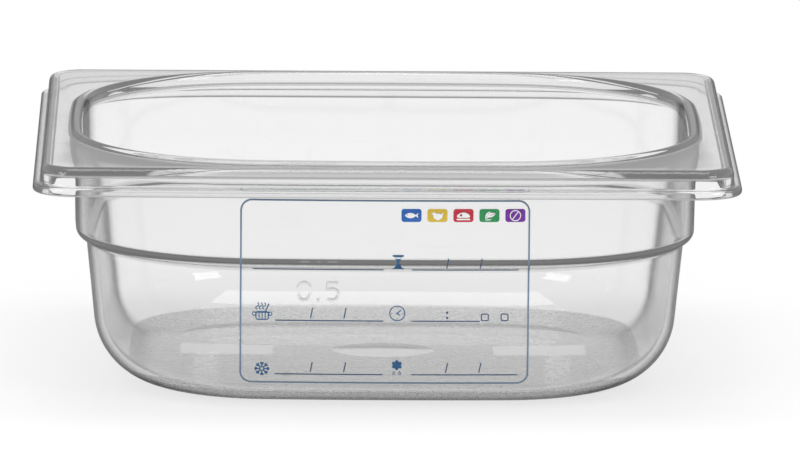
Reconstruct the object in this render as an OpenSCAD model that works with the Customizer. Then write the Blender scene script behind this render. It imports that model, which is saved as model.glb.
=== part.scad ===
// One-sixth gastronorm food pan: a clear moulded pan with a date label printed on its front wall.
// Millimetres. +Z up, origin under the middle of the base, front wall facing -Y.
// "Offset" below means distance outward from the bowl's outside, measured level with the rim.

/* [Rim] */
// Length of the rim, left to right
rim_len = 176; // [140:1:220]
// Width of the rim, front to back
rim_wid = 162; // [130:1:200]
// Corner radius of the rim's outline
rim_corner_r = 11; // [9:0.5:16]
// Height of the rim's flat top above the base
rim_top_h = 63.2; // [50:0.1:110]
// Depth of the rim, from its flat top to the underside of its lip
rim_depth = 7; // [5.5:0.1:9]
// Thickness of the lip
lip_t = 2.3; // [1.8:0.1:3]
// How far the lip stands out past the rim's riser
lip_out = 2; // [1.2:0.1:3]
// Thickness of the riser
riser_t = 2; // [1.6:0.1:2.6]
// Radius of the shoulder between the flat top and the riser
shoulder_r = 2; // [1.5:0.1:2.8]
// Height of the bead round the opening above the rim's flat top
bead_h = 0.9; // [0.6:0.1:1.4]
// Radius of the bead's crest
bead_r = 1.5; // [1.2:0.1:1.8]

/* [Bowl] */
// Distance from the edge of the rim to the outside of the bowl, in the middle of each side
rim_margin = 9.4; // [8.5:0.1:14]
// Wall thickness
wall = 2.2; // [1.6:0.1:2.8]
// Radius of the outward bow of the four sides
side_bow_r = 658; // [500:1:900]
// Radius of the bowl's four corners at the rim
bowl_corner_r = 49; // [42:0.5:55]
// Draft of the upper wall, degrees
upper_draft = 1; // [0.5:0.1:2]
// Draft of the lower wall, degrees
lower_draft = 5.8; // [3:0.1:8]
// Height at which the ledge starts to turn in from the upper wall
ledge_h = 39.2; // [32:0.1:45]
// How far the ledge steps in
ledge_step = 2.7; // [2.5:0.1:4]
// Inside radius of the ledge's shoulder
ledge_inner_r = 0.3; // [0.2:0.1:0.6]
// Radius of the small fillet under the ledge
ledge_fillet_r = 0.9; // [0.6:0.1:1.5]
// Outside radius between the lower wall and the base
base_r = 18.2; // [14:0.1:21]
// Radius of the fillet between the bowl and the underside of the rim
rim_fillet_r = 1.2; // [0.8:0.1:2]

/* [Base] */
// Radius of the shallow dish round the moulding gate
gate_dish_r = 13; // [9:0.5:16]
// Depth of that dish
gate_dish_depth = 0.6; // [0.3:0.1:1]
// Distance of the dish and the windows behind the middle of the base
base_marks_y = 8; // [0:0.5:12]
// Length of a polished window in the base
window_len = 24; // [18:0.5:28]
// Width of a polished window
window_wid = 20; // [14:0.5:22]
// Distance of each window's middle from the pan's middle
window_x = 40; // [32:0.5:44]
// Depth of a window in the underside
window_depth = 0.2; // [0.1:0.05:0.4]
// Outside radius of the ring left by the mould's insert
insert_ring_r = 5; // [3:0.5:6]
// Distance of that ring to the left of the middle
insert_ring_x = 20.5; // [12:0.5:30]
// Distance of that ring in front of the middle
insert_ring_y = 30.5; // [26:0.5:34]

/* [Print] */
// Clearance between the printed ink and the wall
ink_gap = 0.08; // [0.05:0.01:0.15]
// Thickness of a layer of ink
ink_t = 0.1; // [0.08:0.01:0.15]
// Width of the printed label
label_w = 72; // [60:1:90]
// Height of the printed label
label_h = 48; // [40:1:52]
// Distance from the rim's flat top to the top of the label
label_drop = 8.7; // [8:0.1:12]
// Distance of the label's middle to the left of the pan's middle
label_left = 0.5; // [-5:0.5:5]
// Width of the printed frame line
frame_line = 0.45; // [0.3:0.05:0.8]
// Width of the writing lines
rule_line = 0.3; // [0.2:0.05:0.5]
// Width of a colour tab
tab_w = 5; // [4:0.1:5.4]
// Height of a colour tab
tab_h = 3.3; // [2.8:0.1:4]
// Distance from one colour tab to the next
tab_pitch = 6.45; // [5.8:0.05:7]
// Height of the moulded volume mark's numerals
mark_h = 5.2; // [4:0.1:6]
// How far the volume mark stands out of the wall
mark_proud = 0.35; // [0.2:0.05:0.6]

/* [Hidden] */

$fn = 32;
// Slopes and joins shared by the bowl's sections
ledge_slope = 72;
bead_slope = 45;
lip_edge_r = 0.9;
channel_r = 0.8;
// How far a cutter or a joined piece reaches past the surface it meets
bite = 0.5;
// How far a skin of the front wall reaches past what is cut from it
skin_spare = 6;

// Outside radius of the ledge's shoulder
ledge_r = wall + ledge_inner_r;
rim_under_h = rim_top_h - wall;
lip_low_h = rim_top_h - rim_depth;
lip_top_h = lip_low_h + lip_t;

// Halves of the bowl's outline level with the rim, and the middles of its side arcs
bowl_half_x = rim_len / 2 - rim_margin;
bowl_half_y = rim_wid / 2 - rim_margin;
bow_mid_x = bowl_half_x - side_bow_r;
bow_mid_y = bowl_half_y - side_bow_r;
// The corner's middle lies at the same distance from the middles of both side arcs
bow_chord = norm([bow_mid_x, bow_mid_y]);
corner_reach = sqrt(pow(side_bow_r - bowl_corner_r, 2) - pow(bow_chord / 2, 2));
corner_x = bow_mid_x / 2 - corner_reach * bow_mid_y / bow_chord;
corner_y = bow_mid_y / 2 - corner_reach * bow_mid_x / bow_chord;
corner_start = atan2(corner_y, corner_x - bow_mid_x);
corner_end = atan2(corner_y - bow_mid_y, corner_x);

// Stations round a quarter of an outline: [middle x, middle y, radius, angle]
side_steps = 2;
corner_steps = 14;
bowl_quarter = concat(
    [for (i = [0:side_steps - 1]) [bow_mid_x, 0, side_bow_r, corner_start * i / side_steps]],
    [for (i = [0:corner_steps - 1])
        [corner_x, corner_y, bowl_corner_r,
         corner_start + (corner_end - corner_start) * i / corner_steps]],
    [for (i = [0:side_steps])
        [0, bow_mid_y, side_bow_r, corner_end + (90 - corner_end) * i / side_steps]]);
rim_corner_x = rim_len / 2 - rim_corner_r;
rim_corner_y = rim_wid / 2 - rim_corner_r;
rim_quarter = concat(
    [for (i = [0:side_steps - 1]) [rim_corner_x, rim_corner_y * i / side_steps, rim_corner_r, 0]],
    [for (i = [0:corner_steps - 1])
        [rim_corner_x, rim_corner_y, rim_corner_r, 90 * i / corner_steps]],
    [for (i = [0:side_steps])
        [rim_corner_x * (1 - i / side_steps), rim_corner_y, rim_corner_r, 90]]);
quarter_steps = 2 * side_steps + corner_steps;

// All four quarters of an outline, anticlockwise from the middle of the right side
function all_round(q) = concat(
    [for (i = [0:quarter_steps - 1]) q[i]],
    [for (i = [quarter_steps:-1:1]) [-q[i][0], q[i][1], q[i][2], 180 - q[i][3]]],
    [for (i = [0:quarter_steps - 1]) [-q[i][0], -q[i][1], q[i][2], 180 + q[i][3]]],
    [for (i = [quarter_steps:-1:1]) [q[i][0], -q[i][1], q[i][2], 360 - q[i][3]]]);
bowl_stations = all_round(bowl_quarter);
rim_stations = all_round(rim_quarter);

// A point at a station, moved outward by an offset, at a height
function place(s, offset_z) = [
    s[0] + (s[2] + offset_z[0]) * cos(s[3]),
    s[1] + (s[2] + offset_z[0]) * sin(s[3]),
    offset_z[1]];
function ring(stations, offset_z) = [for (s = stations) place(s, offset_z)];
function backwards(list) = [for (i = [len(list) - 1:-1:0]) list[i]];

// An arc of a wall section as [offset, height, angle of the surface's normal];
// a negative radius gives a fillet, whose middle lies outside the plastic
function bend(middle, r, from, to, steps) = [
    for (i = [0:steps]) let(a = from + (to - from) * i / steps)
        [middle[0] + r * cos(a), middle[1] + r * sin(a), a]];

// The outside of the wall in section, from the base up
ledge_top = [-(rim_under_h - ledge_h) * tan(upper_draft), ledge_h];
shoulder_mid = ledge_top - ledge_r * [cos(upper_draft), -sin(upper_draft)];
ledge_run = (ledge_step - ledge_r * (cos(upper_draft) - cos(ledge_slope))
    - ledge_fillet_r * (cos(lower_draft) - cos(ledge_slope))) / sin(ledge_slope);
shoulder_end = shoulder_mid + ledge_r * [cos(ledge_slope), -sin(ledge_slope)];
ledge_foot = shoulder_end - ledge_run * [sin(ledge_slope), cos(ledge_slope)];
foot_mid = ledge_foot + ledge_fillet_r * [cos(ledge_slope), -sin(ledge_slope)];
wall_top = foot_mid - ledge_fillet_r * [cos(lower_draft), -sin(lower_draft)];
base_bend_h = base_r * (1 - sin(lower_draft));
base_bend_offset = wall_top[0] - (wall_top[1] - base_bend_h) * tan(lower_draft);
base_mid = [base_bend_offset - base_r * cos(lower_draft), base_r];
function wall_line(base_steps, foot_steps, shoulder_steps) = concat(
    bend(base_mid, base_r, -90, -lower_draft, base_steps),
    bend(foot_mid, -ledge_fillet_r, -lower_draft, -ledge_slope, foot_steps),
    bend(shoulder_mid, ledge_r, -ledge_slope, -upper_draft, shoulder_steps),
    [[-rim_fillet_r * tan(upper_draft), rim_under_h - rim_fillet_r, -upper_draft]]);
// The same section moved out along its normals, or in by a negative distance
function lifted(line, lift) = [
    for (p = line) [p[0] + lift * cos(p[2]), p[1] + lift * sin(p[2])]];
outer_line = wall_line(10, 2, 4);
inner_line = wall_line(6, 2, 2);

// The rim in section: offsets are from the rim's outline, from the channel round to the shoulder
riser_in = -lip_out - riser_t;
rim_line = concat(
    bend([riser_in - channel_r, rim_under_h - channel_r], channel_r, 90, 0, 2),
    [[riser_in, lip_low_h]],
    bend([-lip_edge_r, lip_low_h + lip_edge_r], lip_edge_r, -90, 0, 2),
    bend([-lip_edge_r, lip_top_h - lip_edge_r], lip_edge_r, 0, 90, 2),
    [[-lip_out, lip_top_h]],
    bend([-lip_out - shoulder_r, rim_top_h - shoulder_r], shoulder_r, 0, 90, 3));

// The bead in section, from its foot on the rim over its crest to the inside of the bowl
bead_mid = [-wall + bead_r, rim_top_h + bead_h - bead_r];
bead_flank = bead_mid + bead_r * [cos(bead_slope), sin(bead_slope)];
bead_line = concat(
    [[bead_flank[0] + (bead_flank[1] - rim_top_h) / tan(bead_slope), rim_top_h]],
    bend(bead_mid, bead_r, bead_slope, 180, 3));

// A solid through loops of points; each loop runs anticlockwise seen from ahead
module loft(loops) {
    n = len(loops[0]);
    last = (len(loops) - 1) * n;
    start_face = [for (i = [0:n - 1]) i];
    end_face = [for (i = [n - 1:-1:0]) last + i];
    side_faces = [
        for (k = [0:len(loops) - 2])
            for (i = [0:n - 1]) let(j = (i + 1) % n)
                [k * n + i, k * n + n + i, k * n + n + j, k * n + j]];
    polyhedron([for (l = loops) each l], concat([start_face], side_faces, [end_face]));
}

module shell() {
    loft(concat(
        [for (p = outer_line) ring(bowl_stations, p)],
        [for (p = bend([rim_fillet_r, rim_under_h - rim_fillet_r], -rim_fillet_r, -45, -90, 1))
            ring(bowl_stations, p)],
        [for (p = rim_line) ring(rim_stations, p)],
        [for (p = bead_line) ring(bowl_stations, p)],
        [for (p = backwards(lifted(inner_line, -wall))) ring(bowl_stations, p)]));
}

// The stations of the front wall between two distances from its middle
function front_stations(x_low, x_high) =
    let(front = [for (i = [2 * quarter_steps:4 * quarter_steps - 1]) bowl_stations[i]],
        xs = [for (s = front) place(s, [0, 0])[0]])
    [for (i = [0:len(front) - 1])
        if (xs[min(i + 1, len(xs) - 1)] > x_low && xs[max(i - 1, 0)] < x_high) front[i]];
// The part of the wall's outside between two heights
function wall_between(z_low, z_high) = [
    for (i = [0:len(outer_line) - 1])
        if (outer_line[min(i + 1, len(outer_line) - 1)][1] > z_low
            && outer_line[max(i - 1, 0)][1] < z_high) outer_line[i]];

// A skin that follows the front wall, cut to the outline drawn by its children.
// low and high are the opposite corners of a box round that outline, [x, z].
module on_front(low, high, near, far) {
    line = wall_between(low[1], high[1]);
    outside = backwards(lifted(line, far));
    inside = lifted(line, near);
    intersection() {
        loft([for (s = front_stations(low[0] - skin_spare, high[0] + skin_spare))
            [for (p = concat(outside, inside)) place(s, p)]]);
        rotate([90, 0, 0]) linear_extrude(height = rim_wid) children();
    }
}

// A layer of ink; its outline is drawn from a middle point, within a half width and height
module ink(x, z, half_w, half_h, layer = 0) {
    near = ink_gap + layer * (ink_t + ink_gap);
    on_front([x - half_w, z - half_h], [x + half_w, z + half_h], near, near + ink_t)
        translate([x, z]) children();
}

module rounded(w, h, r) {
    square([w, h - 2 * r], center = true);
    square([w - 2 * r, h], center = true);
    for (x = [-1, 1])
        for (z = [-1, 1])
            translate([x * (w / 2 - r), z * (h / 2 - r)]) circle(r);
}

module outline(w, h, r, line) {
    difference() {
        rounded(w, h, r);
        rounded(w - 2 * line, h - 2 * line, r - line);
    }
}

module stroke(a, b, line) {
    along = (b - a) / norm(b - a);
    side = [-along[1], along[0]] * line / 2;
    polygon([a - side, b - side, b + side, a + side]);
}

module hoop(r, line) {
    difference() {
        circle(r);
        circle(r - line);
    }
}

// The label: its middle, and the heights of its three writing lines
label_mid_x = -label_left;
label_mid_z = rim_top_h - label_drop - label_h / 2;
label_r = 3;
rule_h = [label_mid_z + 5.9, label_mid_z - 7.3, label_mid_z - 21.4];
// Ends of the left and right writing lines, and where the right line of the middle row stops
left_rule = [-label_w / 2 + 8.8, -0.3];
first_rule_start = -label_w / 2 + 3.2;
right_rule = [6.7, 33.3];
time_rule_end = 23.8;
slash_at = [-18.1, -9.8, 15.6, 23.9];
slash_h = 2.7;
slash_lean = 0.5;
icon_line = 0.3;
left_icon_x = -30.4;
middle_icon_x = 3.2;

module rule_lines() {
    color("slategray") {
        rule(rule_h[0], [first_rule_start, left_rule[1]]);
        rule(rule_h[0], right_rule);
        rule(rule_h[1], left_rule);
        rule(rule_h[1], [right_rule[0], time_rule_end]);
        rule(rule_h[2], left_rule);
        rule(rule_h[2], right_rule);
    }
}

module rule(z, ends) {
    half = (ends[1] - ends[0]) / 2;
    ink(label_mid_x + (ends[0] + ends[1]) / 2, z, half, rule_line)
        square([2 * half, rule_line], center = true);
}

module label_frame() {
    color("lightslategray")
        ink(label_mid_x, label_mid_z, label_w / 2, label_h / 2)
            outline(label_w, label_h, label_r, frame_line);
}

module date_slashes() {
    color("slategray")
        for (row = [0:2])
            for (i = [0:3])
                if ((row != 0 || i > 1) && (row != 1 || i < 2))
                    ink(label_mid_x + slash_at[i], rule_h[row] + slash_h / 2 + 2 * rule_line,
                        slash_lean, slash_h / 2)
                        stroke([-slash_lean, -slash_h] / 2, [slash_lean, slash_h] / 2, rule_line);
}

colon_r = 0.3;
colon_h = [0.9, 2.2];
module time_colon() {
    color("slategray")
        for (h = colon_h)
            ink(label_mid_x + slash_at[2], rule_h[1] + h, colon_r, colon_r) circle(colon_r);
}

box_size = 2;
box_r = 0.5;
box_at = [25, 29.9];
module check_boxes() {
    color("slategray")
        for (x = box_at)
            ink(label_mid_x + x, rule_h[1] + box_size / 2, box_size / 2, box_size / 2)
                outline(box_size, box_size, box_r, icon_line);
}

// Hourglass: two caps, and a body that narrows to a neck
glass_w = 2.8;
glass_h = 3.9;
glass_cap = 0.45;
glass_neck = 0.5;
module hourglass_icon() {
    body_w = glass_w * 0.84;
    color("steelblue")
        ink(label_mid_x + middle_icon_x + 0.1, rule_h[0] + glass_h / 2 + rule_line,
            glass_w / 2, glass_h / 2) {
            for (side = [-1, 1])
                translate([0, side * (glass_h - glass_cap) / 2])
                    square([glass_w, glass_cap], center = true);
            difference() {
                polygon([
                    [-body_w / 2, -glass_h / 2], [body_w / 2, -glass_h / 2],
                    [glass_neck / 2, 0], [body_w / 2, glass_h / 2],
                    [-body_w / 2, glass_h / 2], [-glass_neck / 2, 0]]);
                translate([0, glass_h / 2 - glass_cap - 0.35]) square([body_w * 0.6, 0.4], center = true);
            }
        }
}

// Pot: a rounded body with a lid line, staves, two loop handles, curls of steam and a spoon
pot_w = 3.4;
pot_h = 2.3;
pot_r = 0.7;
handle_r = 0.55;
steam_r = 0.5;
module pot_icon() {
    half_h = 2.7;
    line = icon_line * 0.8;
    color("steelblue")
        ink(label_mid_x + left_icon_x, rule_h[1] + half_h, pot_w / 2 + 2 * handle_r, half_h)
            translate([0, -half_h]) {
                translate([0, pot_h / 2]) outline(pot_w, pot_h, pot_r, icon_line);
                translate([0, pot_h - icon_line]) square([pot_w, icon_line], center = true);
                for (x = [-0.5:0.5:0.5])
                    translate([x * pot_w * 0.45, pot_h / 2]) square([line, pot_h * 0.7], center = true);
                for (side = [-1, 1])
                    translate([side * (pot_w / 2 + handle_r - line), pot_h * 0.7])
                        hoop(handle_r, line);
                for (x = [-1.2, -0.35, 0.5])
                    translate([x, pot_h + 1.3]) steam(steam_r, line);
                stroke([0.8, pot_h - 0.1], [1.7, pot_h + 1.9], icon_line);
            }
}

// A curl of steam: two half hoops, one above the other and facing opposite ways
module steam(r, line) {
    for (side = [-1, 1])
        translate([0, side * (r - line / 2)])
            intersection() {
                hoop(r, line);
                translate([side * r / 2, 0]) square([r, 2 * r], center = true);
            }
}

// Clock: a ring, two hands and four hour marks
clock_r = 2;
clock_line = 0.25;
module clock_icon() {
    color("steelblue")
        ink(label_mid_x + middle_icon_x, rule_h[1] + clock_r, clock_r, clock_r) {
            hoop(clock_r, clock_line);
            stroke([0, 0], [0.95, 0.9], clock_line);
            stroke([0, 0], [0.65, -0.5], clock_line);
            circle(clock_line);
            for (a = [0:90:270])
                rotate(a) translate([clock_r * 0.72, 0]) circle(clock_line / 2);
        }
}

// Snowflake: eight barbed arms on a small hub
flake_r = 1.9;
module snowflake_icon() {
    color("steelblue")
        ink(label_mid_x + left_icon_x, rule_h[2] + flake_r - 0.5, flake_r, flake_r) {
            hoop(flake_r * 0.35, icon_line);
            for (a = [0:45:315])
                rotate(a) {
                    stroke([flake_r * 0.25, 0], [flake_r, 0], icon_line);
                    for (side = [-1, 1])
                        stroke([flake_r * 0.55, 0], [flake_r * 0.9, side * flake_r * 0.22], icon_line);
                }
        }
}

// Thaw mark: a plump six-lobed flake over two hollow drops
thaw_r = 1.35;
lobe_r = 0.42;
drop_r = 0.38;
drop_line = 0.16;
module thaw_icon() {
    half_h = 2;
    color("steelblue")
        ink(label_mid_x + middle_icon_x, rule_h[2] + half_h, thaw_r, half_h) {
            translate([0, half_h - thaw_r]) {
                circle(thaw_r * 0.72);
                for (a = [30:60:330])
                    rotate(a) translate([thaw_r - lobe_r, 0]) circle(lobe_r);
            }
            for (side = [-1, 1])
                translate([side * 0.72, drop_r - half_h]) {
                    hoop(drop_r, drop_line);
                    translate([0, drop_r * 1.4]) square([drop_line, drop_r], center = true);
                }
        }
}

// The colour tabs stand in a row at the top of the label
tab_z = label_mid_z + label_h / 2 - 3.9;
tab_r = 0.7;
function tab_x(i) = label_mid_x + label_w / 2 - 3.7 - (4 - i) * tab_pitch;

module tab(i) {
    ink(tab_x(i), tab_z, tab_w / 2, tab_h / 2) rounded(tab_w, tab_h, tab_r);
}

module fish_tab() color("royalblue") tab(0);
module poultry_tab() color("goldenrod") tab(1);
module meat_tab() color("crimson") tab(2);
module leaf_tab() color("mediumseagreen") tab(3);
module allergen_tab() color("darkviolet") tab(4);

module on_tab(i) {
    ink(tab_x(i), tab_z, tab_w / 2, tab_h / 2, 1) children();
}

module tab_pictograms() {
    color("white") {
        on_tab(0) fish();
        on_tab(1) poultry();
        on_tab(2) meat();
        on_tab(3) leaf();
        on_tab(4) allergen();
    }
}

// A shape like a lens: what two equal circles share
module lens(w, h) {
    r = (w * w + h * h) / (4 * h);
    intersection() {
        translate([0, r - h / 2]) circle(r);
        translate([0, h / 2 - r]) circle(r);
    }
}

module fish() {
    difference() {
        translate([-0.25, 0]) lens(2.8, 1.35);
        translate([-1.05, 0.12]) circle(0.13);
    }
    polygon([[0.85, 0], [1.75, 0.65], [1.5, 0], [1.75, -0.65]]);
}

module poultry() {
    translate([0.1, -0.25]) lens(2.4, 1.6);
    translate([-0.85, 0.45]) circle(0.42);
    polygon([[-1.2, 0.6], [-1.65, 0.42], [-1.2, 0.25]]);
    polygon([[0.5, 0], [1.5, 0.95], [1.2, -0.3]]);
    stroke([0.1, -0.8], [0.1, -1.3], 0.2);
}

// A slice of meat: a domed cut with its bone, over a line for its rind
module meat() {
    intersection() {
        difference() {
            translate([0, -1.2]) circle(2);
            translate([-0.6, 0.1]) circle(0.3);
        }
        translate([0, 0.3]) rounded(3.4, 1.7, 0.6);
    }
    translate([0, -0.95]) rounded(3.4, 0.35, 0.15);
}

module leaf() {
    for (place_turn = [[-0.4, 0.1, 60], [0.45, 0.15, 20]])
        translate([place_turn[0], place_turn[1]])
            rotate(place_turn[2])
                difference() {
                    lens(2.2, 1.05);
                    square([1.7, 0.12], center = true);
                }
    stroke([-1, -1.1], [0.4, -1], 0.22);
}

module allergen() {
    hoop(1.4, 0.22);
    stroke([-0.75, -1], [0.75, 1], 0.22);
}

// The volume mark: the numerals 0.5, moulded proud of the lower wall
mark_x = -17;
mark_z = 30.8;
mark_line = 0.7;
mark_w = 3.6;
mark_pitch = 7;
module volume_mark() {
    half_w = (mark_pitch + mark_w) / 2;
    on_front([mark_x - half_w, mark_z - mark_h / 2], [mark_x + half_w, mark_z + mark_h / 2],
        -bite, mark_proud)
        translate([mark_x, mark_z]) {
            translate([-mark_pitch / 2, 0]) outline(mark_w, mark_h, mark_w / 2 - 0.1, mark_line);
            translate([0, (mark_line - mark_h) / 2]) circle(mark_line / 2);
            translate([mark_pitch / 2, 0]) five(mark_w / 2);
        }
}

// The numeral 5: an open hoop under an upright and a top bar
module five(r) {
    low = -mark_h / 2 + r;
    opening = r * 0.6;
    upright_x = -r + mark_line * 1.2;
    top = (mark_h - mark_line) / 2;
    difference() {
        translate([0, low]) hoop(r, mark_line);
        translate([-r - bite, low - opening / 2]) square([r + bite, opening]);
    }
    stroke([upright_x - mark_line / 2, top], [r, top], mark_line);
    stroke([upright_x, low + r * 0.55], [upright_x, mark_h / 2], mark_line);
}

// What the mould leaves in the underside of the base
ring_groove = 0.6;
module base_marks() {
    dish_r = (pow(gate_dish_r, 2) + pow(gate_dish_depth, 2)) / (2 * gate_dish_depth);
    translate([0, base_marks_y, gate_dish_depth - dish_r]) sphere(dish_r);
    for (side = [-1, 1])
        translate([side * window_x - window_len / 2, base_marks_y - window_wid / 2, -bite])
            cube([window_len, window_wid, window_depth + bite]);
    translate([-insert_ring_x, -insert_ring_y, -bite])
        difference() {
            cylinder(r = insert_ring_r, h = window_depth + bite);
            translate([0, 0, -bite])
                cylinder(r = insert_ring_r - ring_groove, h = window_depth + 3 * bite);
        }
}

module pan() {
    color("gainsboro")
        difference() {
            union() {
                shell();
                volume_mark();
            }
            base_marks();
        }
}

pan();
label_frame();
rule_lines();
date_slashes();
time_colon();
check_boxes();
hourglass_icon();
pot_icon();
clock_icon();
snowflake_icon();
thaw_icon();
fish_tab();
poultry_tab();
meat_tab();
leaf_tab();
allergen_tab();
tab_pictograms();
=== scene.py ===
# %% [markdown]
# # A clear one-sixth food pan
# The real pan is one clear plastic moulding, and everything else on it is print on its front wall.
# The CAD solid could be shown with a glass material, but its shell is made of facets, and each
# facet bends what is seen through it in its own direction.
# So the moulding is built again here as a smooth, finely stepped shell with real wall thickness.
# The printed layers are fine as they are: they stay the CAD's own solids and get ink materials.

import math
import bmesh
import bpy
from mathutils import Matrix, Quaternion, Vector


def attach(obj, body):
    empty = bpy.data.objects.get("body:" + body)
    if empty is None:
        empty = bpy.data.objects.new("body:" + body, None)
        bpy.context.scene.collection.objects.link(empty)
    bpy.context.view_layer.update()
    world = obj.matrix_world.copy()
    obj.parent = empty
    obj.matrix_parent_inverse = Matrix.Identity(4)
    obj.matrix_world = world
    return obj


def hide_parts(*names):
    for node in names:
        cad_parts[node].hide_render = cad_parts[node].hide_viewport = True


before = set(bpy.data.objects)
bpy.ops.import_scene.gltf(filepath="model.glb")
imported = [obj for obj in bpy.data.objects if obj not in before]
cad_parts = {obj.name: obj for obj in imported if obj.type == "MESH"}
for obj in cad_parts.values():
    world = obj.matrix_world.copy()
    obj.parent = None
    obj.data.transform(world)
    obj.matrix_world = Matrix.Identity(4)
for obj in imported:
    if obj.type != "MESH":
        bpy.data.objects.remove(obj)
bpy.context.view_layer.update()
INK_NODES = [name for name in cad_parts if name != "pan"]
print("loaded", len(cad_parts), "nodes,", len(INK_NODES), "of them printed layers")

# %% [markdown]
# ## Sizes
# All lengths are in millimetres, measured from the middle of the underside of the base, and all
# angles are in degrees. They could be measured off the CAD mesh, but a mesh doesn't say which
# radius or slope made it. Named sizes are easier to read, and the shell follows when one changes.

# %% Sizes of the rim
MM = 0.001
RIM_LEN, RIM_WID, RIM_CORNER_R = 176, 162, 11
RIM_TOP, RIM_DEPTH, LIP_T, LIP_OUT, RISER_T = 63.2, 7, 2.3, 2, 2
SHOULDER_R, LIP_EDGE_R, LIP_HOLLOW_R, RISER_FOOT_R, CHANNEL_R = 2, 0.9, 0.4, 0.3, 0.8
BEAD_H, BEAD_R, BEAD_SLOPE = 0.9, 1.5, 45
print("rim", RIM_LEN, "x", RIM_WID, "mm, overall height", RIM_TOP + BEAD_H, "mm")

# %% Sizes of the bowl
RIM_MARGIN, WALL, SIDE_BOW_R, BOWL_CORNER_R = 9.4, 2.2, 658, 49
UPPER_DRAFT, LOWER_DRAFT, LEDGE_SLOPE = 1, 5.8, 72
LEDGE_H, LEDGE_STEP, LEDGE_R, LEDGE_FILLET_R = 39.2, 2.7, 2.5, 0.9
BASE_R, RIM_FILLET_R = 18.2, 1.2
print("wall", WALL, "mm thick, ledge at", LEDGE_H, "mm, base bend", BASE_R, "mm")

# %% [markdown]
# ## Stations round the bowl and the rim
# Seen from above, the bowl is four long shallow arcs joined by four corner arcs, so its opening
# reads as an oval. The rim is a rectangle with small corners.
# Both could be curves joined by a loft, but Blender has no loft that keeps two unlike outlines in
# step. So each outline is a list of stations. A station is the middle of its arc, the arc's radius
# and the direction that faces outward. Both lists have the same length, so a wall section can pass
# from one outline to the other.

# %% Arcs of the bowl's outline
SIDE_STEPS, CORNER_STEPS = 14, 36


def cosd(a):
    return math.cos(math.radians(a))


def sind(a):
    return math.sin(math.radians(a))


half_x, half_y = RIM_LEN / 2 - RIM_MARGIN, RIM_WID / 2 - RIM_MARGIN
bow_x, bow_y = half_x - SIDE_BOW_R, half_y - SIDE_BOW_R
chord = math.hypot(bow_x, bow_y)
reach = math.sqrt((SIDE_BOW_R - BOWL_CORNER_R) ** 2 - (chord / 2) ** 2)
corner_x = bow_x / 2 - reach * bow_y / chord
corner_y = bow_y / 2 - reach * bow_x / chord
turn_0 = math.degrees(math.atan2(corner_y, corner_x - bow_x))
turn_1 = math.degrees(math.atan2(corner_y - bow_y, corner_x))
print("corner arc of the bowl from", round(turn_0, 2), "to", round(turn_1, 2), "degrees")

# %% A quarter of each outline, then all round


def bowl_quarter():
    side = [(bow_x, 0, SIDE_BOW_R, turn_0 * i / SIDE_STEPS) for i in range(SIDE_STEPS)]
    corner = [(corner_x, corner_y, BOWL_CORNER_R, turn_0 + (turn_1 - turn_0) * i / CORNER_STEPS)
              for i in range(CORNER_STEPS)]
    end = [(0, bow_y, SIDE_BOW_R, turn_1 + (90 - turn_1) * i / SIDE_STEPS)
           for i in range(SIDE_STEPS + 1)]
    return side + corner + end


def rim_quarter():
    x, y = RIM_LEN / 2 - RIM_CORNER_R, RIM_WID / 2 - RIM_CORNER_R
    side = [(x, y * i / SIDE_STEPS, RIM_CORNER_R, 0) for i in range(SIDE_STEPS)]
    corner = [(x, y, RIM_CORNER_R, 90 * i / CORNER_STEPS) for i in range(CORNER_STEPS)]
    end = [(x * (1 - i / SIDE_STEPS), y, RIM_CORNER_R, 90) for i in range(SIDE_STEPS + 1)]
    return side + corner + end


def all_round(quarter):
    there, back = quarter[:-1], quarter[:0:-1]
    return (there + [(-x, y, r, 180 - a) for x, y, r, a in back]
            + [(-x, -y, r, 180 + a) for x, y, r, a in there]
            + [(x, -y, r, 360 - a) for x, y, r, a in back])


BOWL, RIM = all_round(bowl_quarter()), all_round(rim_quarter())
print(len(BOWL), "stations round the bowl and", len(RIM), "round the rim")

# %% [markdown]
# ## The wall in section
# Cut from top to bottom, the wall is a large base bend, a drafted lower wall, a stacking ledge and
# an upper wall. A Solidify modifier could give it thickness, but it would round off the ledge.
# Here a section is a list of points: offset outward from the bowl's outline, height, and the
# direction that the surface faces. The inside is the outside moved in along those directions by
# the wall's thickness, which is how the walls of a real moulding run.

# %% Bends and straights


def bend(middle, r, start, end, steps):
    angles = [start + (end - start) * i / steps for i in range(steps + 1)]
    return [(middle[0] + r * cosd(a), middle[1] + r * sind(a), a) for a in angles]


def straight(a, b, steps):
    return [tuple(a[k] + (b[k] - a[k]) * i / steps for k in range(3)) for i in range(1, steps)]


print("a quarter bend of radius 1 starts", bend((0, 0), 1, 0, 90, 2)[0])

# %% Where the bends of the bowl's wall meet
rim_under, lip_low = RIM_TOP - WALL, RIM_TOP - RIM_DEPTH
lip_top = lip_low + LIP_T
shoulder_mid = (-(rim_under - LEDGE_H) * math.tan(math.radians(UPPER_DRAFT))
                - LEDGE_R * cosd(UPPER_DRAFT),
                LEDGE_H + LEDGE_R * sind(UPPER_DRAFT))
run = (LEDGE_STEP - LEDGE_R * (cosd(UPPER_DRAFT) - cosd(LEDGE_SLOPE))
       - LEDGE_FILLET_R * (cosd(LOWER_DRAFT) - cosd(LEDGE_SLOPE))) / sind(LEDGE_SLOPE)
foot = (shoulder_mid[0] + LEDGE_R * cosd(LEDGE_SLOPE) - run * sind(LEDGE_SLOPE),
        shoulder_mid[1] - LEDGE_R * sind(LEDGE_SLOPE) - run * cosd(LEDGE_SLOPE))
foot_mid = (foot[0] + LEDGE_FILLET_R * cosd(LEDGE_SLOPE),
            foot[1] - LEDGE_FILLET_R * sind(LEDGE_SLOPE))
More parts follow.
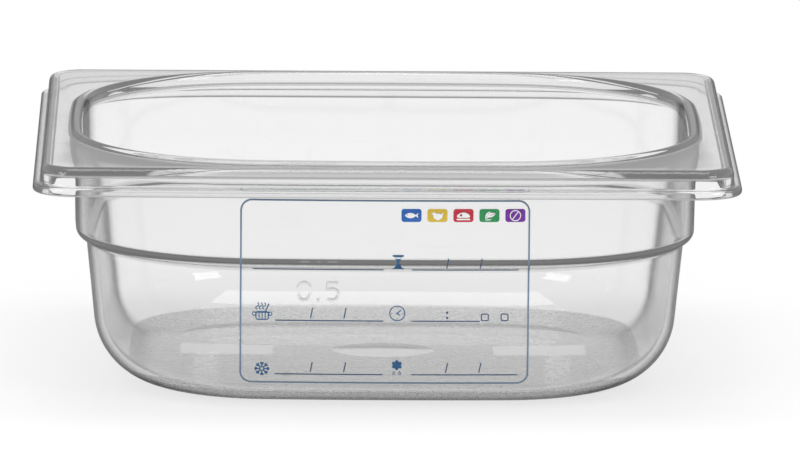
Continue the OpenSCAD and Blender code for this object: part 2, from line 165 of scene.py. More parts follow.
wall_top = (foot_mid[0] - LEDGE_FILLET_R * cosd(LOWER_DRAFT),
            foot_mid[1] + LEDGE_FILLET_R * sind(LOWER_DRAFT))
base_h = BASE_R * (1 - sind(LOWER_DRAFT))
base_mid = (wall_top[0] - (wall_top[1] - base_h) * math.tan(math.radians(LOWER_DRAFT))
            - BASE_R * cosd(LOWER_DRAFT), BASE_R)
print("ledge from", round(wall_top[1], 2), "to", LEDGE_H, "mm up, base bend to",
      round(base_h, 2), "mm")

# %% Section of the bowl's wall, outside and inside
BASE_STEPS, LOWER_STEPS, FOOT_STEPS, SHOULDER_STEPS, UPPER_STEPS = 20, 12, 6, 10, 8


def wall_line():
    low = bend(base_mid, BASE_R, -90, -LOWER_DRAFT, BASE_STEPS)
    ledge = (bend(foot_mid, -LEDGE_FILLET_R, -LOWER_DRAFT, -LEDGE_SLOPE, FOOT_STEPS)
             + bend(shoulder_mid, LEDGE_R, -LEDGE_SLOPE, -UPPER_DRAFT, SHOULDER_STEPS))
    top = (-RIM_FILLET_R * math.tan(math.radians(UPPER_DRAFT)), rim_under - RIM_FILLET_R,
           -UPPER_DRAFT)
    return (low + straight(low[-1], ledge[0], LOWER_STEPS) + ledge
            + straight(ledge[-1], top, UPPER_STEPS) + [top])


def lifted(line, lift):
    return [(p[0] + lift * cosd(p[2]), p[1] + lift * sind(p[2]), p[2]) for p in line]


OUTER = wall_line()
INNER = lifted(OUTER, -WALL)
print(len(OUTER), "points up the outside and", len(INNER), "down the inside")

# %% [markdown]
# ## The rim and the bead in section
# The rim is a flat top with a rounded shoulder, a riser, and a lip that stands out at its foot.
# A raised bead runs round the opening. A bevel on a plain box would give one radius everywhere,
# and the real rim has a different one at each edge, so each bend is written out in turn.

# %% Section of the rim's edge
# The last number of each bend is its count of steps
riser_in = -LIP_OUT - RISER_T
RIM_LINE = (
    bend((riser_in - CHANNEL_R, rim_under - CHANNEL_R), CHANNEL_R, 90, 0, 5)
    + bend((riser_in + RISER_FOOT_R, lip_low + RISER_FOOT_R), RISER_FOOT_R, 180, 270, 3)
    + bend((-LIP_EDGE_R, lip_low + LIP_EDGE_R), LIP_EDGE_R, -90, 0, 6)
    + bend((-LIP_EDGE_R, lip_top - LIP_EDGE_R), LIP_EDGE_R, 0, 90, 6)
    + bend((-LIP_OUT + LIP_HOLLOW_R, lip_top + LIP_HOLLOW_R), -LIP_HOLLOW_R, 90, 0, 4)
    + bend((-LIP_OUT - SHOULDER_R, RIM_TOP - SHOULDER_R), SHOULDER_R, 0, 90, 10))
print(len(RIM_LINE), "points round the rim's edge")

# %% Section of the bead
BEAD_STEPS = 16
BEAD_FOOT_RISE = [(0.5, 0, 90), (0.1, 0.03, 75), (-0.2, 0.22, BEAD_SLOPE)]
bead_mid = (-WALL + BEAD_R, RIM_TOP + BEAD_H - BEAD_R)
flank = (bead_mid[0] + BEAD_R * cosd(BEAD_SLOPE), bead_mid[1] + BEAD_R * sind(BEAD_SLOPE))
bead_foot = flank[0] + (flank[1] - RIM_TOP) / math.tan(math.radians(BEAD_SLOPE))
BEAD_LINE = ([(bead_foot + out, RIM_TOP + up, facing) for out, up, facing in BEAD_FOOT_RISE]
             + bend(bead_mid, BEAD_R, BEAD_SLOPE, 180, BEAD_STEPS))
print(len(BEAD_LINE), "points over the bead")

# %% [markdown]
# ## The shell as one closed skin
# The moulding has no seams, so it is one mesh. The skin starts at a point under the base, runs out
# and up the outside, round the rim, over the bead and back down the inside to a point on the floor.
# A screw or a skin modifier would be quicker to set up, but neither follows an outline that isn't
# round. Two surfaces with plastic between them matter here: light bends at each of them, and that
# is what makes a wall look clear from the front and grey from the side.

# %% Points in space


def place(station, point):
    x, y, r, a = station
    across, up, _ = point
    return (x + (r + across) * cosd(a)) * MM, (y + (r + across) * sind(a)) * MM, up * MM


def ring(stations, point):
    return [place(s, point) for s in stations]


def shrunk(loop, share):
    return [(x * share, y * share, z) for x, y, z in loop]


print("the base bend starts at", [round(v, 4) for v in place(BOWL[0], OUTER[0])])

# %% Loops of the skin, from under the base to the floor
FLAT_STRIP, FILLET_STEPS = 0.4, 6
FLOOR_STEPS, FLOOR_LAST_SHARE = 12, 0.99
fillet = bend((RIM_FILLET_R, rim_under - RIM_FILLET_R), -RIM_FILLET_R, -10, -90, FILLET_STEPS)
under_rim = [(RIM_FILLET_R + FLAT_STRIP, rim_under, -90)]
edge_of_under = [(riser_in - CHANNEL_R - FLAT_STRIP, rim_under, 90)]
edge_of_top = [(-LIP_OUT - SHOULDER_R - FLAT_STRIP, RIM_TOP, 90)]
floor_shares = [i / FLOOR_STEPS for i in range(1, FLOOR_STEPS)] + [FLOOR_LAST_SHARE]

loops = [shrunk(ring(BOWL, OUTER[0]), share) for share in floor_shares]
base_rows = len(loops)
loops += [ring(BOWL, p) for p in OUTER + fillet + under_rim]
loops += [ring(RIM, p) for p in edge_of_under + RIM_LINE + edge_of_top]
loops += [ring(BOWL, p) for p in BEAD_LINE]
loops += [ring(BOWL, p) for p in INNER[::-1]]
loops += [shrunk(ring(BOWL, INNER[0]), share) for share in floor_shares[::-1]]
print(len(loops), "loops,", base_rows, "of them flat under the base")

# %% Faces between the loops
count = len(BOWL)
points = [p for loop in loops for p in loop] + [(0, 0, 0), (0, 0, WALL * MM)]
faces = []
for row in range(len(loops) - 1):
    low, high = row * count, (row + 1) * count
    for i in range(count):
        j = (i + 1) % count
        faces.append((low + i, low + j, high + j, high + i))
under_tip, floor_tip = len(points) - 2, len(points) - 1
last = (len(loops) - 1) * count
for i in range(count):
    j = (i + 1) % count
    faces.append((under_tip, j, i))
    faces.append((last + i, last + j, floor_tip))
mesh = bpy.data.meshes.new("pan_shell")
mesh.from_pydata(points, [], faces)
print("shell:", len(mesh.vertices), "points,", len(mesh.polygons), "faces")

# %% [markdown]
# ## Which finish each face has
# The mould is polished, apart from a fine stipple under the base and part of the way up its bend,
# which hides scratches. The marks cut into the base are polished again.
# A painted mask could say the same, but the edge of the stipple is a sharp line on the real pan.
# So each face gets the number of a material slot. The slots hold stand-ins until the end.

# %% Slots of the shell
POLISHED, STIPPLED, CUT = 0, 1, 2
SLOT_STAND_INS = ("polished_later", "stippled_later", "cut_later")
STIPPLE_UP_BEND = 9


def add_slots(to_mesh):
    for name in SLOT_STAND_INS:
        to_mesh.materials.append(bpy.data.materials.get(name) or bpy.data.materials.new(name))


for f in mesh.polygons:
    in_stipple = min(f.vertices) // count < base_rows + STIPPLE_UP_BEND
    f.material_index = STIPPLED if in_stipple else POLISHED
pan = bpy.data.objects.new("clear_pan", mesh)
bpy.context.scene.collection.objects.link(pan)
print("stippled faces:", sum(f.material_index == STIPPLED for f in mesh.polygons))

# %% [markdown]
# ## The volume mark
# The numerals 0.5 stand proud of the lower wall, like soft ridges. A text object would bring a
# typeface with sharp corners, and moulded numerals are cut with a round tool.
# So each stroke is a round rod that follows the wall. It is sunk in until only a ridge shows, and
# is joined to the shell further down.

# %% A rod that follows the wall
MARK_X, MARK_Z = -17, 30.8
ROD_R, ROD_PROUD, ROD_ROUNDING = 0.42, 0.35, 5


def wall_offset(z):
    for a, b in zip(OUTER, OUTER[1:]):
        if a[1] <= z <= b[1]:
            return a[0] + (b[0] - a[0]) * (z - a[1]) / (b[1] - a[1])
    return 0


def on_wall(x, z, out):
    r = SIDE_BOW_R + wall_offset(z) + out
    return Vector((x, -bow_y - math.sqrt(r * r - x * x), z)) * MM


def rod(name, path, closed):
    curve = bpy.data.curves.new(name, "CURVE")
    curve.dimensions, curve.bevel_depth = "3D", ROD_R * MM
    curve.bevel_resolution, curve.use_fill_caps = ROD_ROUNDING, True
    line = curve.splines.new("POLY")
    line.points.add(len(path) - 1)
    for spot, (x, z) in zip(line.points, path):
        spot.co = (*on_wall(MARK_X + x, MARK_Z + z, ROD_PROUD - ROD_R), 1)
    line.use_cyclic_u = closed
    bent_rod = bpy.data.objects.new(name, curve)
    bpy.context.scene.collection.objects.link(bent_rod)
    bpy.context.view_layer.update()
    seen = bent_rod.evaluated_get(bpy.context.evaluated_depsgraph_get())
    made = bpy.data.meshes.new_from_object(seen)
    bpy.data.objects.remove(bent_rod)
    solid = bpy.data.objects.new(name, made)
    bpy.context.scene.collection.objects.link(solid)
    return solid


print("the mark stands at", [round(v, 4) for v in on_wall(MARK_X, MARK_Z, 0)])

# %% Strokes of the mark
MARK_H, MARK_W, MARK_PITCH, MARK_LINE = 5.2, 3.6, 7, 0.7
POINT_HALF, ROUND_STEPS, BELLY_STEPS = 0.35, 14, 22


def arc(mx, mz, r, start, end, steps):
    turns = [start + (end - start) * i / steps for i in range(steps + 1)]
    return [(mx + r * cosd(a), mz + r * sind(a)) for a in turns]


digit_w, digit_h = (MARK_W - MARK_LINE) / 2, (MARK_H - MARK_LINE) / 2
left, right = -MARK_PITCH / 2, MARK_PITCH / 2
belly = digit_w - digit_h
zero = (arc(left, -belly, digit_w, 0, 180, ROUND_STEPS)
        + arc(left, belly, digit_w, 180, 360, ROUND_STEPS))
# The five is a bar, a stem that leans a little, and a belly
five = ([(right + digit_w, digit_h), (right - digit_w * 0.8, digit_h),
         (right - digit_w * 0.95, belly + digit_w * 0.75)]
        + arc(right, belly, digit_w, 120, -140, BELLY_STEPS))
point_path = [(-POINT_HALF, -digit_h), (POINT_HALF, -digit_h)]
marks = [rod("mark_zero", zero, True), rod("mark_five", five, False),
         rod("mark_point", point_path, False)]
print("volume mark:", len(marks), "strokes")

# %% [markdown]
# ## Marks of the mould in the base
# Plastic enters the mould near the middle of the base, through a gate in a shallow dish. Beside it
# are two polished windows, and at the front left is the ring of a mould insert.
# They could be bump in the material, but a clear floor shows its depth from both sides.
# So they are cut into the underside. Faces that a cutter leaves keep the cutter's own slot.

# %% The dish's cutter, a shallow cap of a ball on a cone
GATE_R, GATE_DEPTH, MARKS_Y = 13, 0.6, 8
DISH_OVERRUN, DISH_STEPS, DISH_SIDES = 1.5, 20, 96
CUTTER_DEPTH = 2


def cutter(name):
    made = bpy.context.object
    made.name = name
    add_slots(made.data)
    for f in made.data.polygons:
        f.material_index = CUT
    return made


def dish_ring(r, z):
    turns = [360 * j / DISH_SIDES for j in range(DISH_SIDES)]
    return [(r * cosd(a) * MM, (MARKS_Y + r * sind(a)) * MM, z * MM) for a in turns]


ball_r = (GATE_R ** 2 + GATE_DEPTH ** 2) / (2 * GATE_DEPTH)
dish_points = [(0, MARKS_Y * MM, GATE_DEPTH * MM)]
for i in range(1, DISH_STEPS + 1):
    r = (GATE_R + DISH_OVERRUN) * i / DISH_STEPS
    dish_points += dish_ring(r, GATE_DEPTH - ball_r + math.sqrt(ball_r ** 2 - r ** 2))
dish_points.append((0, MARKS_Y * MM, -CUTTER_DEPTH * MM))
dish_faces = [(0, 1 + j, 1 + (j + 1) % DISH_SIDES) for j in range(DISH_SIDES)]
for i in range(DISH_STEPS - 1):
    a, b = 1 + i * DISH_SIDES, 1 + (i + 1) * DISH_SIDES
    dish_faces += [(a + j, b + j, b + (j + 1) % DISH_SIDES, a + (j + 1) % DISH_SIDES)
                   for j in range(DISH_SIDES)]
a = 1 + (DISH_STEPS - 1) * DISH_SIDES
dish_faces += [(a + (j + 1) % DISH_SIDES, a + j, len(dish_points) - 1) for j in range(DISH_SIDES)]
dish_mesh = bpy.data.meshes.new("dish")
dish_mesh.from_pydata(dish_points, [], dish_faces)
dish = bpy.data.objects.new("dish", dish_mesh)
bpy.context.scene.collection.objects.link(dish)
bpy.context.view_layer.objects.active = dish
cutters = [cutter("gate_dish")]
print("gate dish:", len(dish_faces), "faces")

# %% Cutters of the windows and the ring
WINDOW_LEN, WINDOW_WID, WINDOW_X, WINDOW_DEPTH = 24, 20, 40, 0.2
RING_R, RING_GROOVE, RING_X, RING_Y = 5, 0.6, -20.5, -30.5
RING_ROUND_STEPS, RING_GROOVE_STEPS = 72, 12
for side in (-1, 1):
    middle = (side * WINDOW_X * MM, MARKS_Y * MM, (WINDOW_DEPTH - CUTTER_DEPTH / 2) * MM)
    bpy.ops.mesh.primitive_cube_add(size=1, location=middle)
    bpy.context.object.scale = (WINDOW_LEN * MM, WINDOW_WID * MM, CUTTER_DEPTH * MM)
    bpy.ops.object.transform_apply(scale=True, location=True)
    cutters.append(cutter("window"))
bpy.ops.mesh.primitive_torus_add(
    major_radius=(RING_R - RING_GROOVE / 2) * MM, minor_radius=RING_GROOVE / 2 * MM,
    major_segments=RING_ROUND_STEPS, minor_segments=RING_GROOVE_STEPS,
    location=(RING_X * MM, RING_Y * MM, 0))
bpy.ops.object.transform_apply(location=True)
cutters.append(cutter("insert_ring"))
print("cutters:", [tool.name for tool in cutters])

# %% Cut the base and join the mark
add_slots(mesh)


def combine(tool, how):
    bpy.context.view_layer.objects.active = pan
    step = pan.modifiers.new(how, "BOOLEAN")
    step.operation, step.object, step.solver = how, tool, "EXACT"
    bpy.ops.object.modifier_apply(modifier=step.name)
    bpy.data.objects.remove(tool)


for tool in cutters:
    combine(tool, "DIFFERENCE")
for tool in marks:
    combine(tool, "UNION")
print("after the cuts and the mark:", len(pan.data.polygons), "faces")

# %% [markdown]
# ## Smooth shading
# A moulding has no sharp edges except where the mould's inserts leave one.
# Shading everything smooth would smear the gloss across those edges, so they stay creased: the
# edges of the cuts, and any edge that turns by more than 35 degrees.

# %% Smooth shading with creases
CREASE_TURN = 35
work = bmesh.new()
work.from_mesh(pan.data)
for f in work.faces:
    f.smooth = True
creases = 0
for e in work.edges:
    if len(e.link_faces) == 2:
        cut = [f.material_index == CUT for f in e.link_faces]
        if cut[0] != cut[1] or e.calc_face_angle(0) > math.radians(CREASE_TURN):
            e.smooth = False
            creases += 1
open_edges = sum(1 for e in work.edges if len(e.link_faces) != 2)
plastic_cm3 = work.calc_volume() / MM ** 3 / 1000
work.to_mesh(pan.data)
work.free()
print("creases:", creases, "open edges:", open_edges, "plastic:", round(plastic_cm3, 1), "cm3")
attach(pan, "root")
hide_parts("pan")

# %% [markdown]
# ## Tools for node trees
# The two effects below and the materials use the same few steps many times: make a group with
# named inputs and outputs, add a noise, move a value to a new range, and do a sum.
# Adding each node by hand would hide what the trees do, so each step is a short function.

# %% Tools for node trees


def new_group(name, inputs, outputs):
    group = bpy.data.node_groups.new(name, "ShaderNodeTree")
    for kind, label, value in inputs:
        socket = group.interface.new_socket(label, in_out="INPUT", socket_type=kind)
        socket.default_value = value
    for kind, label in outputs:
        group.interface.new_socket(label, in_out="OUTPUT", socket_type=kind)
    return group, group.nodes.new("NodeGroupInput"), group.nodes.new("NodeGroupOutput")


def put(tree, amount, socket):
    if isinstance(amount, (int, float)):
        socket.default_value = amount
    else:
        tree.links.new(amount, socket)


def noise(tree, where, scale, detail):
    node = tree.nodes.new("ShaderNodeTexNoise")
    node.inputs["Scale"].default_value, node.inputs["Detail"].default_value = scale, detail
    tree.links.new(where, node.inputs["Vector"])
    return node.outputs["Fac"]


def spread(tree, value, low, high, to_low, to_high):
    node = tree.nodes.new("ShaderNodeMapRange")
    tree.links.new(value, node.inputs["Value"])
    labels = ("From Min", "From Max", "To Min", "To Max")
    for label, amount in zip(labels, (low, high, to_low, to_high)):
        put(tree, amount, node.inputs[label])
    return node.outputs["Result"]


def maths(tree, how, a, b):
    node = tree.nodes.new("ShaderNodeMath")
    node.operation = how
    for socket, amount in zip(node.inputs, (a, b)):
        put(tree, amount, socket)
    return node.outputs[0]


def blend(tree, share, a, b):
    node = tree.nodes.new("ShaderNodeMix")
    node.data_type = "RGBA"
    tree.links.new(share, node.inputs["Factor"])
    for socket, amount in ((node.inputs["A"], a), (node.inputs["B"], b)):
        if isinstance(amount, tuple):
            socket.default_value = amount
        else:
            tree.links.new(amount, socket)
    return node.outputs["Result"]


FLOAT, COLOR = "NodeSocketFloat", "NodeSocketColor"
print("node tools ready")

# %% [markdown]
# ## Effect: moulded_surface
# Clear moulded plastic is never quite flat. It has slow waves from the way it cooled and faint
# scuffs from use, and under the base it has the grain of the stipple.
# An image could hold all three, but it would blur close up and need an unwrapped mesh.
# Three noises of different size, placed by the object's own coordinates, do it at any distance.

# %% Group: moulded_surface
SCUFF_SCALE, SCUFF_DETAIL, SCUFF_LOW, SCUFF_HIGH = 420, 6, 0.45, 0.75
WAVE_SCALE, WAVE_DETAIL = 34, 1
GRAIN_SCALE, GRAIN_DETAIL = 1500, 2
moulded, given, sent = new_group(
    "moulded_surface",
    [(FLOAT, "Low Roughness", 0.02), (FLOAT, "High Roughness", 0.06), (FLOAT, "Stipple", 0.0)],
    [(FLOAT, "Roughness"), (FLOAT, "Height")])
where = moulded.nodes.new("ShaderNodeTexCoord").outputs["Object"]
scuffs = noise(moulded, where, SCUFF_SCALE, SCUFF_DETAIL)
waves = noise(moulded, where, WAVE_SCALE, WAVE_DETAIL)
grains = noise(moulded, where, GRAIN_SCALE, GRAIN_DETAIL)
rough = spread(moulded, scuffs, SCUFF_LOW, SCUFF_HIGH,
               given.outputs["Low Roughness"], given.outputs["High Roughness"])
stipple_height = maths(moulded, "MULTIPLY", grains, given.outputs["Stipple"])
moulded.links.new(rough, sent.inputs["Roughness"])
moulded.links.new(maths(moulded, "ADD", waves, stipple_height), sent.inputs["Height"])
print("group", moulded.name, "with", len(moulded.nodes), "nodes")

# %% [markdown]
# ## Effect: printed_ink
# Screen print goes through a mesh, so its layer is slightly uneven: a little thinner and paler in
# places, and never as glossy as the plastic. One fine noise drives all three, because on real
# print they happen at the same spots.

# %% Group: printed_ink
INK_SCALE, INK_DETAIL = 2600, 4
THIN_LOW, THIN_HIGH, THIN_MOST = 0.55, 0.8, 0.6
INK_ROUGHNESS = 0.35
printed, given, sent = new_group(
    "printed_ink",
    [(COLOR, "Ink", (0.2, 0.3, 0.4, 1)), (COLOR, "Thin Ink", (0.3, 0.4, 0.5, 1)),
     (FLOAT, "Gloss Loss", 0.2)],
    [(COLOR, "Color"), (FLOAT, "Roughness"), (FLOAT, "Height")])
where = printed.nodes.new("ShaderNodeTexCoord").outputs["Object"]
grain = noise(printed, where, INK_SCALE, INK_DETAIL)
cover = spread(printed, grain, THIN_LOW, THIN_HIGH, 0, THIN_MOST)
ink_color = blend(printed, cover, given.outputs["Ink"], given.outputs["Thin Ink"])
gloss_loss = maths(printed, "MULTIPLY", grain, given.outputs["Gloss Loss"])
printed.links.new(ink_color, sent.inputs["Color"])
printed.links.new(maths(printed, "ADD", INK_ROUGHNESS, gloss_loss), sent.inputs["Roughness"])
printed.links.new(grain, sent.inputs["Height"])
print("group", printed.name, "with", len(printed.nodes), "nodes")

# %% [markdown]
# ## Clear plastic
# Seen through its face, a wall is nearly clear. Seen along its length, it is grey, because light
# has far to go in it. A plain glass material gives the refraction, but it needs help in three
# places. Painted shade turns the walls' colour dark where they turn away, a band of painted shade
# makes the ledge a little greyer than the rest, and light that stays trapped inside a wall ends as
# a plain grey glow, where the renderer would otherwise stop following it and show black.
# The tint by depth has a limit: Cycles ends it only where the light leaves by the finish it came in
# by. Light that passes between the stipple and the polish keeps it, so the base is a little greyer.

# %% Tints of the plastic, and its painted shade
PLASTIC_IOR = 1.47
# The edge colour is painted shade: walls turn dark where they face away from the camera.
FACE_COLOR, PAINTED_EDGE_SHADE = (0.965, 0.965, 0.965, 1), (0.09, 0.09, 0.09, 1)
# The ledge colour is painted shade: a band over the ledge's height is made greyer.
PAINTED_LEDGE_SHADE, LEDGE_SHADE_FADE = (0.78, 0.78, 0.78, 1), 0.5
EDGE_SHADE_STARTS, EDGE_SHADE_FULL = 0.67, 0.82
LEVEL_STARTS, LEVEL_FULL = 0.9, 0.99


def new_material(name):
    made = bpy.data.materials.new(name)
    made.use_nodes = True
    return made, made.node_tree, made.node_tree.nodes["Principled BSDF"]


# Painted shade: the share of the dark edge colour, by how far an upright surface turns away.
def painted_edge_shade(tree):
    facing = tree.nodes.new("ShaderNodeLayerWeight").outputs["Facing"]
    split = tree.nodes.new("ShaderNodeSeparateXYZ")
    tree.links.new(tree.nodes.new("ShaderNodeNewGeometry").outputs["Normal"], split.inputs[0])
    level = maths(tree, "ABSOLUTE", split.outputs["Z"], 0)
    upright = spread(tree, level, LEVEL_STARTS, LEVEL_FULL, 1, 0)
    return maths(tree, "MULTIPLY", spread(tree, facing, EDGE_SHADE_STARTS, EDGE_SHADE_FULL, 0, 1), upright)


# Painted shade: the share of the grey ledge colour, in a band over the ledge's height.
def painted_ledge_shade(tree):
    split = tree.nodes.new("ShaderNodeSeparateXYZ")
    tree.links.new(tree.nodes.new("ShaderNodeTexCoord").outputs["Object"], split.inputs[0])
    height = split.outputs["Z"]
    above = spread(tree, height, (wall_top[1] - LEDGE_SHADE_FADE) * MM, wall_top[1] * MM, 0, 1)
    below = spread(tree, height, LEDGE_H * MM, (LEDGE_H + LEDGE_SHADE_FADE) * MM, 1, 0)
    return maths(tree, "MULTIPLY", above, below)


print("the plastic keeps", FACE_COLOR[0], "of the light through its face")

# %% Light in the depth of the plastic
TINT, TINT_DENSITY = (0.60, 0.60, 0.60, 1), 20
PIPED_LIGHT, PIPED_AFTER = (0.25, 0.25, 0.25, 1), 2.5


def end_trapped_light(tree, shader):
    bounces = tree.nodes.new("ShaderNodeLightPath").outputs["Glossy Depth"]
    trapped = maths(tree, "GREATER_THAN", bounces, PIPED_AFTER)
    piped = tree.nodes.new("ShaderNodeEmission")
    piped.inputs["Color"].default_value = PIPED_LIGHT
    mix = tree.nodes.new("ShaderNodeMixShader")
    tree.links.new(trapped, mix.inputs[0])
    tree.links.new(shader.outputs[0], mix.inputs[1])
    tree.links.new(piped.outputs[0], mix.inputs[2])
    tree.links.new(mix.outputs[0], tree.nodes["Material Output"].inputs["Surface"])


def tint_by_depth(tree):
    depth = tree.nodes.new("ShaderNodeVolumeAbsorption")
    depth.inputs["Color"].default_value = TINT
    depth.inputs["Density"].default_value = TINT_DENSITY
    tree.links.new(depth.outputs["Volume"], tree.nodes["Material Output"].inputs["Volume"])


print("trapped light ends after", math.ceil(PIPED_AFTER), "reflections")

# %% The three finishes of the pan


def place_group(tree, group, values):
    node = tree.nodes.new("ShaderNodeGroup")
    node.node_tree = group
    for label, value in values.items():
        node.inputs[label].default_value = value
    return node


def bump(tree, shader, height, strength, distance):
    node = tree.nodes.new("ShaderNodeBump")
    node.inputs["Strength"].default_value = strength
    node.inputs["Distance"].default_value = distance
    tree.links.new(height, node.inputs["Height"])
    tree.links.new(node.outputs["Normal"], shader.inputs["Normal"])


def plastic(name, low, high, stipple, strength, distance):
    made, tree, shader = new_material(name)
    # The base colour holds painted shade: greyer over the ledge, dark where a wall turns away.
    face = blend(tree, painted_ledge_shade(tree), FACE_COLOR, PAINTED_LEDGE_SHADE)
    tree.links.new(blend(tree, painted_edge_shade(tree), face, PAINTED_EDGE_SHADE), shader.inputs["Base Color"])
    shader.inputs["Transmission Weight"].default_value = 1
    shader.inputs["IOR"].default_value = PLASTIC_IOR
    values = {"Low Roughness": low, "High Roughness": high, "Stipple": stipple}
    surface = place_group(tree, moulded, values)
    tree.links.new(surface.outputs["Roughness"], shader.inputs["Roughness"])
    bump(tree, shader, surface.outputs["Height"], strength, distance * MM)
    end_trapped_light(tree, shader)
    tint_by_depth(tree)
    return made


# Low and high roughness, height of the stipple, strength of the bump and its distance in mm
FINISHES = {POLISHED: ("clear_polished", 0.02, 0.06, 0, 0.2, 0.4),
            STIPPLED: ("clear_stippled", 0.26, 0.4, 0.8, 0.8, 0.4),
            CUT: ("clear_window", 0.01, 0.03, 0, 0.05, 0.2)}
for slot, finish in FINISHES.items():
    pan.data.materials[slot] = plastic(*finish)
print("pan materials:", [m.name for m in pan.data.materials])

# %% [markdown]
# ## Inks
# The label is printed in three blues, and each tab in its own plain colour with a white pictogram.
# One material with a colour ramp could serve them all, but then no ink could be changed alone.
# So each ink is a material of its own, and all of them use the same effect.

# %% Inks
THIN_TONE, THIN_SHARE, GLOSS_LOSS = 0.75, 0.25, 0.3
INK_BUMP, INK_BUMP_MM = 0.2, 0.03
INKS = {
    "frame_ink": ((0.13, 0.19, 0.27), ["label_frame"]),
    "line_ink": ((0.03, 0.07, 0.14),
                 ["rule_lines", "date_slashes", "time_colon", "check_boxes"]),
    "icon_ink": ((0.012, 0.085, 0.2),
                 ["hourglass_icon", "pot_icon", "clock_icon", "snowflake_icon", "thaw_icon"]),
    "fish_blue_ink": ((0.01, 0.11, 0.42), ["fish_tab"]),
    "poultry_yellow_ink": ((0.62, 0.44, 0.035), ["poultry_tab"]),
    "meat_red_ink": ((0.52, 0.015, 0.035), ["meat_tab"]),
    "leaf_green_ink": ((0.015, 0.27, 0.08), ["leaf_tab"]),
    "allergen_purple_ink": ((0.16, 0.015, 0.32), ["allergen_tab"]),
    "white_ink": ((0.82, 0.82, 0.82), ["tab_pictograms"]),
}
for name, (color, nodes) in INKS.items():
    made, tree, shader = new_material(name)
    thin = tuple(c + (THIN_TONE - c) * THIN_SHARE for c in color)
    values = {"Ink": (*color, 1), "Thin Ink": (*thin, 1), "Gloss Loss": GLOSS_LOSS}
    ink = place_group(tree, printed, values)
    tree.links.new(ink.outputs["Color"], shader.inputs["Base Color"])
    tree.links.new(ink.outputs["Roughness"], shader.inputs["Roughness"])
    bump(tree, shader, ink.outputs["Height"], INK_BUMP, INK_BUMP_MM * MM)
    for node in nodes:
        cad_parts[node].data.materials.clear()
        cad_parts[node].data.materials.append(made)
inked = [node for color, nodes in INKS.values() for node in nodes]
print("inks:", len(INKS), "on", len(inked), "layers, bare:", sorted(set(INK_NODES) - set(inked)))

# %% [markdown]
# ## The studio
# Clear plastic has no colour of its own. It shows what stands behind it and what it reflects, so
# the studio is half of the material. One white world would make the pan almost vanish.
# So the world is white to the camera, a shade under white through the plastic, and a darker room
# with one bright band in reflections, which draws the edges.
# Light that has gone through plastic counts as reflected too, so the reflections leave it out.

# %% World
STUDIO_PLAIN = 0.75
# Stops of height, from 0 straight down to 1 straight up: the two ends first, then those between
SHOWN_THROUGH = [(0.0, 0.94), (1.0, 0.4), (0.53, 0.94), (0.63, 0.66)]
SHOWN_ON = [(0.0, 0.16), (1.0, 0.2), (0.5, 0.22), (0.56, 0.6), (0.66, 0.5), (0.8, 0.2)]
world = bpy.data.worlds.new("studio")
bpy.context.scene.world = world
world.use_nodes = True
tree = world.node_tree
sky = tree.nodes["Background"]
rays = tree.nodes.new("ShaderNodeLightPath").outputs
split = tree.nodes.new("ShaderNodeSeparateXYZ")
tree.links.new(tree.nodes.new("ShaderNodeTexCoord").outputs["Generated"], split.inputs[0])
height = spread(tree, split.outputs["Z"], -1, 1, 0, 1)


def by_height(stops):
    ramp = tree.nodes.new("ShaderNodeValToRGB")
    ends = [*ramp.color_ramp.elements]
    for spot, (where, value) in zip(ends + [None] * (len(stops) - len(ends)), stops):
        spot = spot or ramp.color_ramp.elements.new(where)
        spot.position, spot.color = where, (value, value, value, 1)
    tree.links.new(height, ramp.inputs["Fac"])
    return ramp.outputs["Color"]


shown_through, shown_on = by_height(SHOWN_THROUGH), by_height(SHOWN_ON)
bent = maths(tree, "MAXIMUM", rays["Is Glossy Ray"], rays["Is Transmission Ray"])
for_rest = maths(tree, "MULTIPLY", maths(tree, "SUBTRACT", 1, bent), STUDIO_PLAIN)
through = maths(tree, "MULTIPLY", rays["Is Transmission Ray"], shown_through)
reflected = maths(tree, "SUBTRACT", bent, rays["Is Transmission Ray"])
on_gloss = maths(tree, "MULTIPLY", reflected, shown_on)
unseen = maths(tree, "ADD", maths(tree, "ADD", through, on_gloss), for_rest)
tree.links.new(maths(tree, "MAXIMUM", rays["Is Camera Ray"], unseen), sky.inputs["Strength"])
sky.inputs["Color"].default_value = (1, 1, 1, 1)
print("world:", world.name, "with", len(tree.nodes), "nodes")

# %% [markdown]
# ## Lamps
# A product is lit with large soft boxes, one at each side and one above, so that no shadow is hard.
# Small lamps would leave sparks of light on the rim. Area lamps of half a metre give broad, soft
# reflections. They don't show through the plastic, where a soft box would look like a white card.

# %% Lamps
LAMPS_AIM = Vector((0, 0, 0.03))
# Place, width, height and watts
LAMPS = {"lamp_left": ((-0.9, -0.75, 0.45), 0.45, 0.7, 5),
         "lamp_right": ((0.9, -0.75, 0.45), 0.45, 0.7, 5),
         "lamp_above": ((0, -0.1, 1.1), 0.9, 0.6, 6)}
for name, (spot, wide, high, watts) in LAMPS.items():
    data = bpy.data.lights.new(name, "AREA")
    data.shape, data.size, data.size_y, data.energy = "RECTANGLE", wide, high, watts
    lamp = bpy.data.objects.new(name, data)
    lamp.location = spot
    lamp.rotation_mode = "QUATERNION"
    lamp.rotation_quaternion = (LAMPS_AIM - Vector(spot)).to_track_quat("-Z", "Y")
    lamp.visible_camera = False
    lamp.visible_transmission = False
    bpy.context.scene.collection.objects.link(lamp)
print("lamps:", list(LAMPS))

# %% [markdown]
# ## Floor
# The pan stands on a plain pale surface that runs into the white behind it and keeps a soft shadow.
# A large white plane would do, but its far edge would show as a line through the clear wall.
# So the floor is a disc. It glows a little more towards its edge, where it meets the white world,
# and less under the pan, where the shadow lies. Reflections see it darker, as they see the room.
# From below it is see-through, so the underside of the pan can be looked at.

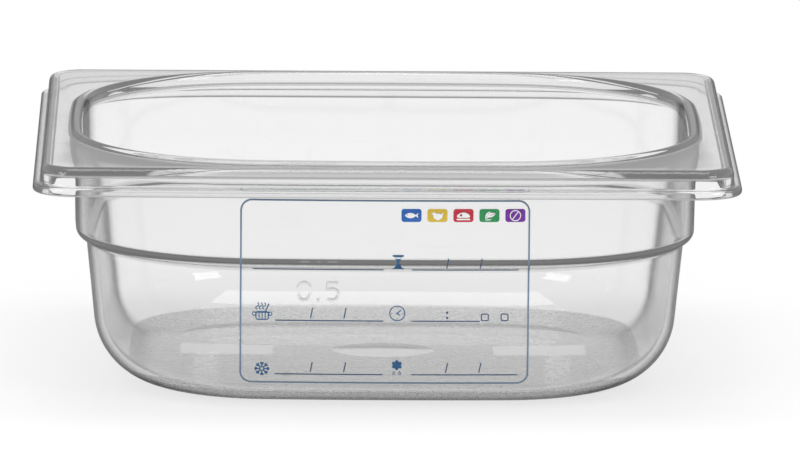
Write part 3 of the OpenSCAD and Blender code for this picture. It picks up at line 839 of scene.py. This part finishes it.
# %% Floor
FLOOR_R, FLOOR_DROP, FLOOR_SIDES = 0.36, 0.4, 96
FLOOR_IN_GLOSS, FLOOR_THROUGH = 0.14, 0.95
GLOW_MIDDLE, GLOW_EDGE = (0.4, 0.72), (0.97, 1.0)
bpy.ops.mesh.primitive_circle_add(vertices=FLOOR_SIDES, radius=FLOOR_R, fill_type="NGON",
                                  location=(0, 0, -FLOOR_DROP * MM))
floor = bpy.context.object
floor.name = "floor"
made, tree, shader = new_material("pale_floor")
shader.inputs["Base Color"].default_value = (0.8, 0.8, 0.8, 1)
shader.inputs["Roughness"].default_value = 1
shader.inputs["Specular IOR Level"].default_value = 0
rays = tree.nodes.new("ShaderNodeLightPath").outputs
indirect = maths(tree, "MAXIMUM", rays["Is Transmission Ray"], rays["Is Glossy Ray"])
seen = maths(tree, "MAXIMUM", rays["Is Camera Ray"], indirect)
dimmed = maths(tree, "MULTIPLY", rays["Is Transmission Ray"], FLOOR_THROUGH)
by_ray = maths(tree, "ADD", rays["Is Camera Ray"], dimmed)
glow = tree.nodes.new("ShaderNodeEmission")
tree.links.new(maths(tree, "MAXIMUM", by_ray, FLOOR_IN_GLOSS), glow.inputs["Strength"])
from_middle = tree.nodes.new("ShaderNodeVectorMath")
from_middle.operation = "LENGTH"
tree.links.new(tree.nodes.new("ShaderNodeTexCoord").outputs["Object"], from_middle.inputs[0])
glow_share = spread(tree, from_middle.outputs["Value"], GLOW_MIDDLE[0] * FLOOR_R,
                    GLOW_EDGE[0] * FLOOR_R, GLOW_MIDDLE[1], GLOW_EDGE[1])
print("floor: a disc of", FLOOR_R, "m,", FLOOR_DROP, "mm under the pan")

# %% The floor's glow, and its see-through underside


def mixed(tree, share, first, second):
    node = tree.nodes.new("ShaderNodeMixShader")
    for socket, output in zip(node.inputs, (share, first, second)):
        tree.links.new(output, socket)
    return node.outputs[0]


top_side = mixed(tree, maths(tree, "MULTIPLY", seen, glow_share), shader.outputs[0],
                 glow.outputs[0])
underside = tree.nodes.new("ShaderNodeNewGeometry").outputs["Backfacing"]
clear = tree.nodes.new("ShaderNodeBsdfTransparent").outputs[0]
tree.links.new(mixed(tree, underside, top_side, clear),
               tree.nodes["Material Output"].inputs["Surface"])
floor.data.materials.append(made)
print("floor material:", made.name, "with", len(tree.nodes), "nodes")

# %% [markdown]
# ## Camera
# The pan is seen from more than three metres away with a long lens, a little above level, so its
# edges stay nearly parallel. A short lens close by would make the front of the rim loom.
# The camera looks at the middle of the pan's height, aims slightly to the right and up so that the
# pan sits a little low and to the left, and is rolled by less than half a degree.

# %% Camera
LOOK_AT = Vector((0, 0, 32)) * MM
DISTANCE, ELEVATION, TURN, ROLL, LENS = 3.3783, 9.765, -0.634, 0.42, 599.5
AIM_ACROSS, AIM_UP = 4.05, 3.15
back = Vector((sind(TURN) * cosd(ELEVATION), -cosd(TURN) * cosd(ELEVATION), sind(ELEVATION)))
across = Vector((cosd(TURN), sind(TURN), 0))
upward = back.cross(across)
camera = bpy.data.objects.new("camera", bpy.data.cameras.new("camera"))
camera.data.lens = LENS
camera.location = LOOK_AT + back * DISTANCE
camera.rotation_mode = "QUATERNION"
aim = LOOK_AT + across * AIM_ACROSS * MM + upward * AIM_UP * MM - camera.location
roll = Quaternion((0, 0, 1), math.radians(ROLL))
camera.rotation_quaternion = aim.to_track_quat("-Z", "Y") @ roll
bpy.context.scene.collection.objects.link(camera)
bpy.context.scene.camera = camera
bpy.context.scene.view_settings.view_transform = "Standard"
print("camera", round(camera.location.length, 3), "m away")
